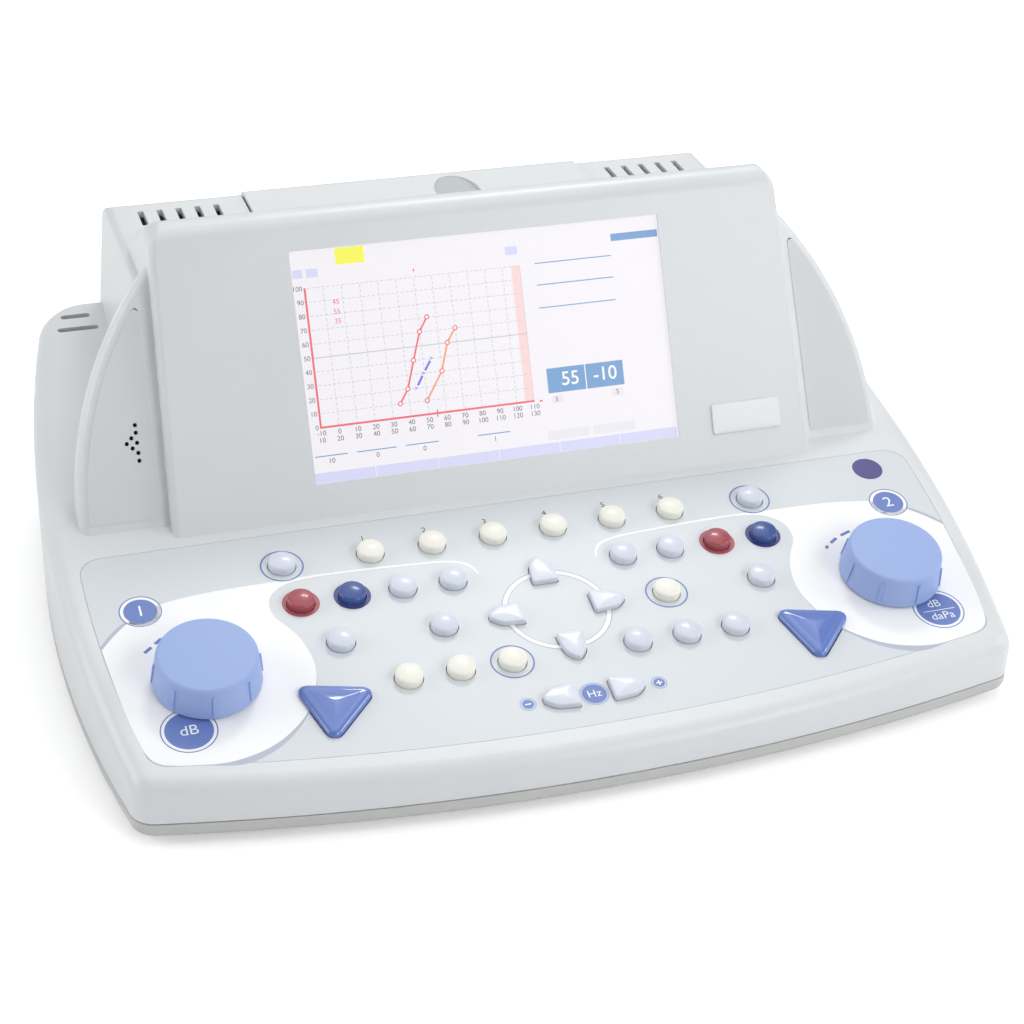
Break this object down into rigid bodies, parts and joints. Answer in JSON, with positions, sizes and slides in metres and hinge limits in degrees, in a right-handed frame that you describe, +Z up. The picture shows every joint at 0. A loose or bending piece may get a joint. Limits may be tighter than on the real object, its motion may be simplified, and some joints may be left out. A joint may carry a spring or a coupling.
{
  "type": "tympanometer",
  "caption": "Desk-top middle-ear analyser with a sloping key deck, two turning knobs, a tilted screen between arched side webs and a lidded strip printer.",
  "frame": {"origin": "centre of the bounding box's bottom, on the plane the rubber feet stand on", "axes": "+X to the user's right along the front, +Y away from the user towards the sockets, +Z up"},
  "size_m": [0.372, 0.291, 0.1601],
  "materials": {
    "casing_plastic": "fine satin texture, pale cool grey",
    "tray_plastic": "fine satin texture, light grey",
    "panel_plastic": "fine matt texture, pale grey",
    "overlay_film": "printed polyester film, satin",
    "screen_window": "clear, anti-glare",
    "ivory_keys": "smooth satin ivory",
    "lavender_keys": "smooth satin grey-lavender",
    "red_keys": "smooth satin red",
    "dark_blue_keys": "smooth satin dark blue",
    "gloss_blue_keys": "glossy deep blue",
    "knob_plastic": "matt periwinkle",
    "dark_plastic": "matt near-black",
    "circuit_board": "green solder mask",
    "pump_metal": "bead blasted",
    "steel": "zinc plated",
    "paper": "matt thermal paper",
    "black_rubber": "matt"
  },
  "bodies": {
    "casing": {"upper_housing": "casing_plastic", "base_tray": "tray_plastic", "keypad_overlay": "overlay_film", "display_window": "screen_window", "lcd_panel": "dark_plastic", "left_speaker_panel": "panel_plastic", "right_side_panel": "panel_plastic", "monitor_speaker": "dark_plastic", "lid_hinge_pin": "steel", "printer_chassis": "dark_plastic", "rotary_encoders": "dark_plastic", "keypad_board": "circuit_board", "main_board": "circuit_board", "air_pump": "pump_metal", "rear_panel": "tray_plastic", "rear_sockets": "dark_plastic", "probe_socket": "dark_plastic", "power_inlet": "dark_plastic", "rubber_feet": "black_rubber", "housing_screws": "steel"},
    "printer_lid": {"printer_lid": "casing_plastic"},
    "left_knob": {"left_knob": "knob_plastic"},
    "right_knob": {"right_knob": "knob_plastic"},
    "paper_roll": {"paper_roll": "paper"},
    "platen_roller": {"platen_roller": "black_rubber"},
    "power_rocker": {"power_rocker": "dark_plastic"},
    "function_key_1": {"function_key_1": "ivory_keys"},
    "function_key_2": {"function_key_2": "ivory_keys"},
    "function_key_3": {"function_key_3": "ivory_keys"},
    "function_key_4": {"function_key_4": "ivory_keys"},
    "function_key_5": {"function_key_5": "ivory_keys"},
    "function_key_6": {"function_key_6": "ivory_keys"},
    "test_key": {"test_key": "lavender_keys"},
    "enter_key": {"enter_key": "lavender_keys"},
    "left_input_key": {"left_input_key": "lavender_keys"},
    "left_output_key": {"left_output_key": "lavender_keys"},
    "left_blue_key": {"left_blue_key": "dark_blue_keys"},
    "left_red_key": {"left_red_key": "red_keys"},
    "left_reverse_key": {"left_reverse_key": "lavender_keys"},
    "right_input_key": {"right_input_key": "lavender_keys"},
    "right_output_key": {"right_output_key": "lavender_keys"},
    "right_blue_key": {"right_blue_key": "dark_blue_keys"},
    "right_red_key": {"right_red_key": "red_keys"},
    "right_reverse_key": {"right_reverse_key": "lavender_keys"},
    "print_key": {"print_key": "lavender_keys"},
    "store_key": {"store_key": "ivory_keys"},
    "side_key": {"side_key": "ivory_keys"},
    "contralateral_key": {"contralateral_key": "ivory_keys"},
    "ipsilateral_key": {"ipsilateral_key": "ivory_keys"},
    "controls_key": {"controls_key": "lavender_keys"},
    "talk_over_key": {"talk_over_key": "lavender_keys"},
    "start_stop_key": {"start_stop_key": "lavender_keys"},
    "arrow_key_right": {"arrow_key_right": "lavender_keys"},
    "arrow_key_up": {"arrow_key_up": "lavender_keys"},
    "arrow_key_left": {"arrow_key_left": "lavender_keys"},
    "arrow_key_down": {"arrow_key_down": "lavender_keys"},
    "frequency_down_key": {"frequency_down_key": "lavender_keys"},
    "frequency_up_key": {"frequency_up_key": "lavender_keys"},
    "left_talk_key": {"left_talk_key": "gloss_blue_keys"},
    "right_talk_key": {"right_talk_key": "gloss_blue_keys"}
  },
  "joints": [
    {"name": "function_key_1_press", "type": "slide", "parent": "casing", "child": "function_key_1", "axis": [0, 0.2079, -0.9781], "range_m": [0, 0.0012], "stiffness_N_per_m": 800, "springref_m": -0.001},
    {"name": "function_key_2_press", "type": "slide", "parent": "casing", "child": "function_key_2", "axis": [0, 0.2079, -0.9781], "range_m": [0, 0.0012], "stiffness_N_per_m": 800, "springref_m": -0.001},
    {"name": "function_key_3_press", "type": "slide", "parent": "casing", "child": "function_key_3", "axis": [0, 0.2079, -0.9781], "range_m": [0, 0.0012], "stiffness_N_per_m": 800, "springref_m": -0.001},
    {"name": "function_key_4_press", "type": "slide", "parent": "casing", "child": "function_key_4", "axis": [0, 0.2079, -0.9781], "range_m": [0, 0.0012], "stiffness_N_per_m": 800, "springref_m": -0.001},
    {"name": "function_key_5_press", "type": "slide", "parent": "casing", "child": "function_key_5", "axis": [0, 0.2079, -0.9781], "range_m": [0, 0.0012], "stiffness_N_per_m": 800, "springref_m": -0.001},
    {"name": "function_key_6_press", "type": "slide", "parent": "casing", "child": "function_key_6", "axis": [0, 0.2079, -0.9781], "range_m": [0, 0.0012], "stiffness_N_per_m": 800, "springref_m": -0.001},
    {"name": "test_key_press", "type": "slide", "parent": "casing", "child": "test_key", "axis": [0, 0.2079, -0.9781], "range_m": [0, 0.0012], "stiffness_N_per_m": 800, "springref_m": -0.001},
    {"name": "enter_key_press", "type": "slide", "parent": "casing", "child": "enter_key", "axis": [0, 0.2079, -0.9781], "range_m": [0, 0.0012], "stiffness_N_per_m": 800, "springref_m": -0.001},
    {"name": "left_input_key_press", "type": "slide", "parent": "casing", "child": "left_input_key", "axis": [0, 0.2079, -0.9781], "range_m": [0, 0.0012], "stiffness_N_per_m": 800, "springref_m": -0.001},
    {"name": "left_output_key_press", "type": "slide", "parent": "casing", "child": "left_output_key", "axis": [0, 0.2079, -0.9781], "range_m": [0, 0.0012], "stiffness_N_per_m": 800, "springref_m": -0.001},
    {"name": "left_blue_key_press", "type": "slide", "parent": "casing", "child": "left_blue_key", "axis": [0, 0.2079, -0.9781], "range_m": [0, 0.0012], "stiffness_N_per_m": 800, "springref_m": -0.001},
    {"name": "left_red_key_press", "type": "slide", "parent": "casing", "child": "left_red_key", "axis": [0, 0.2079, -0.9781], "range_m": [0, 0.0012], "stiffness_N_per_m": 800, "springref_m": -0.001},
    {"name": "left_reverse_key_press", "type": "slide", "parent": "casing", "child": "left_reverse_key", "axis": [0, 0.2079, -0.9781], "range_m": [0, 0.0012], "stiffness_N_per_m": 800, "springref_m": -0.001},
    {"name": "right_input_key_press", "type": "slide", "parent": "casing", "child": "right_input_key", "axis": [0, 0.2079, -0.9781], "range_m": [0, 0.0012], "stiffness_N_per_m": 800, "springref_m": -0.001},
    {"name": "right_output_key_press", "type": "slide", "parent": "casing", "child": "right_output_key", "axis": [0, 0.2079, -0.9781], "range_m": [0, 0.0012], "stiffness_N_per_m": 800, "springref_m": -0.001},
    {"name": "right_blue_key_press", "type": "slide", "parent": "casing", "child": "right_blue_key", "axis": [0, 0.2079, -0.9781], "range_m": [0, 0.0012], "stiffness_N_per_m": 800, "springref_m": -0.001},
    {"name": "right_red_key_press", "type": "slide", "parent": "casing", "child": "right_red_key", "axis": [0, 0.2079, -0.9781], "range_m": [0, 0.0012], "stiffness_N_per_m": 800, "springref_m": -0.001},
    {"name": "right_reverse_key_press", "type": "slide", "parent": "casing", "child": "right_reverse_key", "axis": [0, 0.2079, -0.9781], "range_m": [0, 0.0012], "stiffness_N_per_m": 800, "springref_m": -0.001},
    {"name": "print_key_press", "type": "slide", "parent": "casing", "child": "print_key", "axis": [0, 0.2079, -0.9781], "range_m": [0, 0.0012], "stiffness_N_per_m": 800, "springref_m": -0.001},
    {"name": "store_key_press", "type": "slide", "parent": "casing", "child": "store_key", "axis": [0, 0.2079, -0.9781], "range_m": [0, 0.0012], "stiffness_N_per_m": 800, "springref_m": -0.001},
    {"name": "side_key_press", "type": "slide", "parent": "casing", "child": "side_key", "axis": [0, 0.2079, -0.9781], "range_m": [0, 0.0012], "stiffness_N_per_m": 800, "springref_m": -0.001},
    {"name": "contralateral_key_press", "type": "slide", "parent": "casing", "child": "contralateral_key", "axis": [0, 0.2079, -0.9781], "range_m": [0, 0.0012], "stiffness_N_per_m": 800, "springref_m": -0.001},
    {"name": "ipsilateral_key_press", "type": "slide", "parent": "casing", "child": "ipsilateral_key", "axis": [0, 0.2079, -0.9781], "range_m": [0, 0.0012], "stiffness_N_per_m": 800, "springref_m": -0.001},
    {"name": "controls_key_press", "type": "slide", "parent": "casing", "child": "controls_key", "axis": [0, 0.2079, -0.9781], "range_m": [0, 0.0012], "stiffness_N_per_m": 800, "springref_m": -0.001},
    {"name": "talk_over_key_press", "type": "slide", "parent": "casing", "child": "talk_over_key", "axis": [0, 0.2079, -0.9781], "range_m": [0, 0.0012], "stiffness_N_per_m": 800, "springref_m": -0.001},
    {"name": "start_stop_key_press", "type": "slide", "parent": "casing", "child": "start_stop_key", "axis": [0, 0.2079, -0.9781], "range_m": [0, 0.0012], "stiffness_N_per_m": 800, "springref_m": -0.001},
    {"name": "arrow_key_right_press", "type": "slide", "parent": "casing", "child": "arrow_key_right", "axis": [0, 0.2079, -0.9781], "range_m": [0, 0.0012], "stiffness_N_per_m": 800, "springref_m": -0.001},
    {"name": "arrow_key_up_press", "type": "slide", "parent": "casing", "child": "arrow_key_up", "axis": [0, 0.2079, -0.9781], "range_m": [0, 0.0012], "stiffness_N_per_m": 800, "springref_m": -0.001},
    {"name": "arrow_key_left_press", "type": "slide", "parent": "casing", "child": "arrow_key_left", "axis": [0, 0.2079, -0.9781], "range_m": [0, 0.0012], "stiffness_N_per_m": 800, "springref_m": -0.001},
    {"name": "arrow_key_down_press", "type": "slide", "parent": "casing", "child": "arrow_key_down", "axis": [0, 0.2079, -0.9781], "range_m": [0, 0.0012], "stiffness_N_per_m": 800, "springref_m": -0.001},
    {"name": "frequency_down_key_press", "type": "slide", "parent": "casing", "child": "frequency_down_key", "axis": [0, 0.2079, -0.9781], "range_m": [0, 0.0012], "stiffness_N_per_m": 800, "springref_m": -0.001},
    {"name": "frequency_up_key_press", "type": "slide", "parent": "casing", "child": "frequency_up_key", "axis": [0, 0.2079, -0.9781], "range_m": [0, 0.0012], "stiffness_N_per_m": 800, "springref_m": -0.001},
    {"name": "left_talk_key_press", "type": "slide", "parent": "casing", "child": "left_talk_key", "axis": [0, 0.2079, -0.9781], "range_m": [0, 0.0012], "stiffness_N_per_m": 800, "springref_m": -0.001},
    {"name": "right_talk_key_press", "type": "slide", "parent": "casing", "child": "right_talk_key", "axis": [0, 0.2079, -0.9781], "range_m": [0, 0.0012], "stiffness_N_per_m": 800, "springref_m": -0.001},
    {"name": "left_knob_turn", "type": "hinge", "parent": "casing", "child": "left_knob", "pos_m": [-0.1391, -0.0825, 0.0363], "axis": [0, -0.2079, 0.9781], "continuous": true},
    {"name": "right_knob_turn", "type": "hinge", "parent": "casing", "child": "right_knob", "pos_m": [0.1391, -0.0825, 0.0363], "axis": [0, -0.2079, 0.9781], "continuous": true},
    {"name": "printer_lid_swing", "type": "hinge", "parent": "casing", "child": "printer_lid", "pos_m": [0, 0.1434, 0.117], "axis": [-1, 0, 0], "range_deg": [0, 90]},
    {"name": "paper_roll_turn", "type": "hinge", "parent": "casing", "child": "paper_roll", "pos_m": [0, 0.1235, 0.105], "axis": [1, 0, 0], "continuous": true},
    {"name": "platen_turn", "type": "hinge", "parent": "casing", "child": "platen_roller", "pos_m": [0, 0.1105, 0.1215], "axis": [1, 0, 0], "continuous": true},
    {"name": "power_rocker_tip", "type": "hinge", "parent": "casing", "child": "power_rocker", "pos_m": [0.072, 0.1405, 0.042], "axis": [1, 0, 0], "range_deg": [0, 18]}
  ],
  "couplings": [
    {"joint": "platen_turn", "follows": "paper_roll_turn", "ratio": 2.3333}
  ]
}
